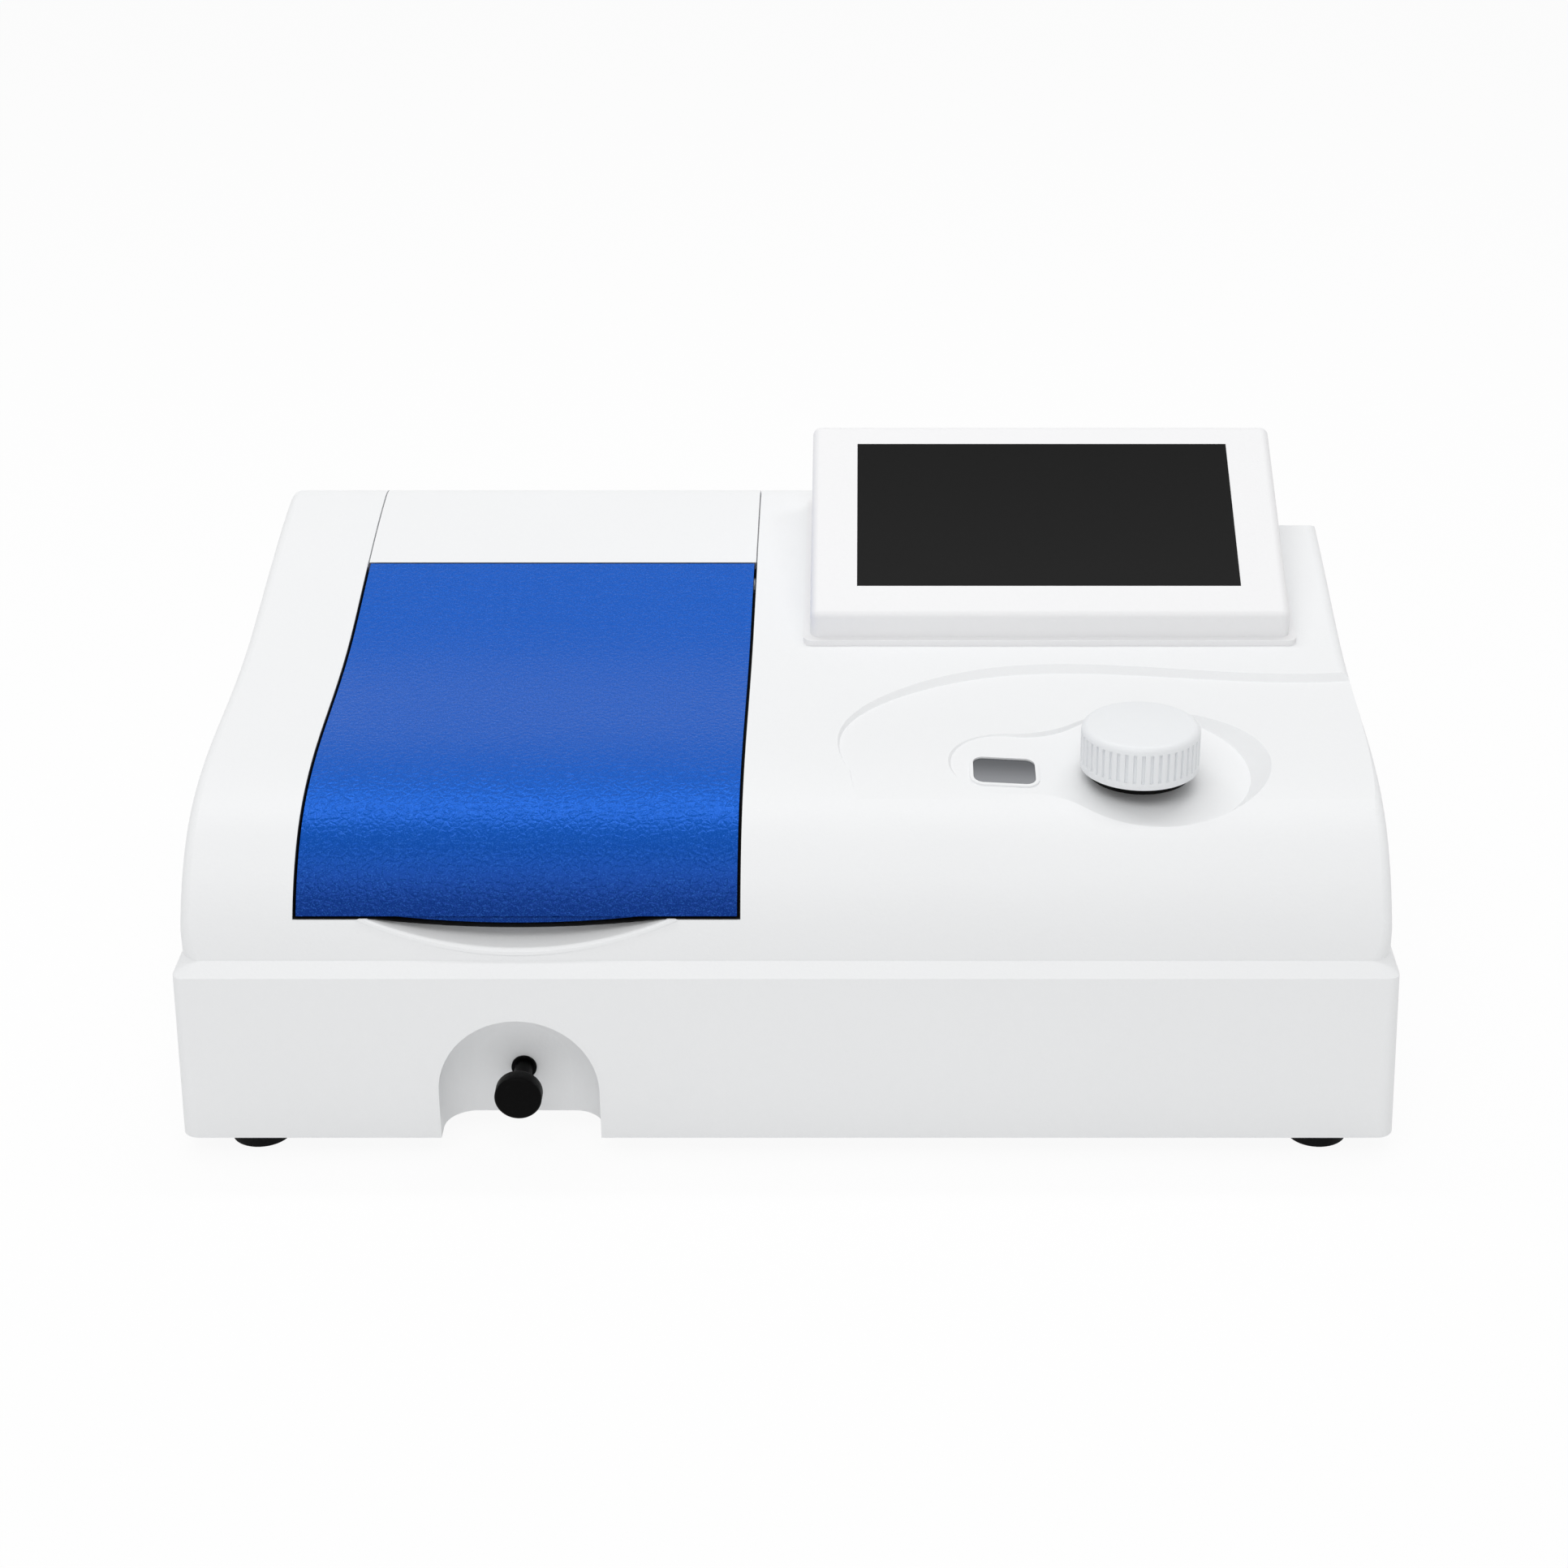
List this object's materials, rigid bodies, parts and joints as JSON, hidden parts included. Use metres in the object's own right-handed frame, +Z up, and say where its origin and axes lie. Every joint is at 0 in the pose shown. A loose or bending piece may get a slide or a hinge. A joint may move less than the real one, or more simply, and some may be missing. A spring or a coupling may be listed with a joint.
{
  "type": "visible spectrophotometer",
  "caption": "Bench instrument with a hinged blue sample lid, pull rod, ribbed wavelength knob with window, and a tilted touch display on a white housing.",
  "frame": {"origin": "middle of the whole object in X and Y, at the table", "axes": "+X to the right seen from the front, +Y from front to back, +Z up"},
  "size_m": [0.4644, 0.3254, 0.1984],
  "materials": {
    "white_housing": "satin, fine texture",
    "blue_lid": "textured",
    "display_white": "satin",
    "screen_black": "satin glass",
    "smoked_window": "smoked",
    "knob_white": "satin",
    "black_plastic": "satin",
    "black_rubber": "matt",
    "steel": "zinc plated",
    "black_tub": "matt black",
    "cast_aluminium": "cast",
    "black_anodised": "black anodised",
    "brass": "machined",
    "dial_white": "printed",
    "mirror_glass": "coated",
    "circuit_board": "solder mask",
    "lamp_glass": "clear",
    "lcd_metal": "sheet"
  },
  "bodies": {
    "housing": {"base_shell": "white_housing", "bottom_plate": "steel", "rubber_feet": "black_rubber", "foot_screws": "steel", "optical_bench": "cast_aluminium", "top_cover": "white_housing", "rear_hood": "white_housing", "sample_tub": "black_tub", "carriage_rails": "steel", "detent_spring": "steel", "rod_bush": "black_plastic", "hinge_brackets": "black_plastic", "lid_hinge_pins": "steel", "lid_gasket": "black_rubber", "display_housing": "display_white", "touch_panel": "screen_black", "lcd_module": "lcd_metal", "display_board": "circuit_board", "window_lens": "smoked_window", "knob_collar": "black_plastic", "mono_housing": "black_anodised", "mono_cover": "black_anodised", "entrance_slit": "steel", "exit_slit": "steel", "collimating_mirror": "mirror_glass", "focusing_mirror": "mirror_glass", "fold_mirror": "mirror_glass", "lamp_housing": "cast_aluminium", "halogen_lamp": "lamp_glass", "condenser_mirror": "mirror_glass", "detector_housing": "black_anodised", "photodiode_board": "circuit_board", "main_board": "circuit_board", "power_supply": "steel", "fan_frame": "black_plastic", "mains_inlet": "black_plastic", "switch_body": "black_plastic", "usb_port": "steel", "serial_port": "steel"},
    "lid": {"sample_lid": "blue_lid"},
    "carriage": {"pull_rod": "black_anodised", "rod_knob": "black_plastic", "cell_carriage": "black_anodised"},
    "knob": {"wavelength_knob": "knob_white", "knob_shaft": "steel"},
    "dial": {"dial_gear": "brass", "wavelength_dial": "dial_white", "drive_cam": "steel"},
    "grating_mount": {"grating_table": "cast_aluminium", "grating": "mirror_glass", "grating_arm": "brass"},
    "fan": {"fan_rotor": "black_plastic"},
    "rocker": {"switch_rocker": "black_plastic"},
    "fuse_holder": {"fuse_drawer": "black_plastic"}
  },
  "joints": [
    {"name": "lid_hinge", "type": "hinge", "parent": "housing", "child": "lid", "pos_m": [-0.101, 0.0669, 0.143], "axis": [-1, 0, 0], "range_deg": [0, 80]},
    {"name": "rod_pull", "type": "slide", "parent": "housing", "child": "carriage", "axis": [0, -1, 0], "range_m": [0, 0.048]},
    {"name": "knob_turn", "type": "hinge", "parent": "housing", "child": "knob", "pos_m": [0.1356, -0.0861, 0.14], "axis": [0, 0, 1], "range_deg": [-585, 585]},
    {"name": "dial_turn", "type": "hinge", "parent": "housing", "child": "dial", "pos_m": [0.0834, -0.0517, 0.11], "axis": [0, 0, 1], "range_deg": [-146.25, 146.25]},
    {"name": "grating_turn", "type": "hinge", "parent": "housing", "child": "grating_mount", "pos_m": [0.0494, -0.0817, 0.08], "axis": [0, 0, 1], "range_deg": [-13.5, 13.5]},
    {"name": "fan_spin", "type": "hinge", "parent": "housing", "child": "fan", "pos_m": [0.016, 0.1469, 0.047], "axis": [0, 1, 0], "continuous": true},
    {"name": "rocker_tip", "type": "hinge", "parent": "housing", "child": "rocker", "pos_m": [0.128, 0.1559, 0.045], "axis": [1, 0, 0], "range_deg": [0, 16]},
    {"name": "fuse_slide", "type": "slide", "parent": "housing", "child": "fuse_holder", "axis": [0, 1, 0], "range_m": [0, 0.014]}
  ],
  "couplings": [
    {"joint": "dial_turn", "follows": "knob_turn", "ratio": -0.25},
    {"joint": "grating_turn", "follows": "knob_turn", "ratio": -0.023077}
  ]
}
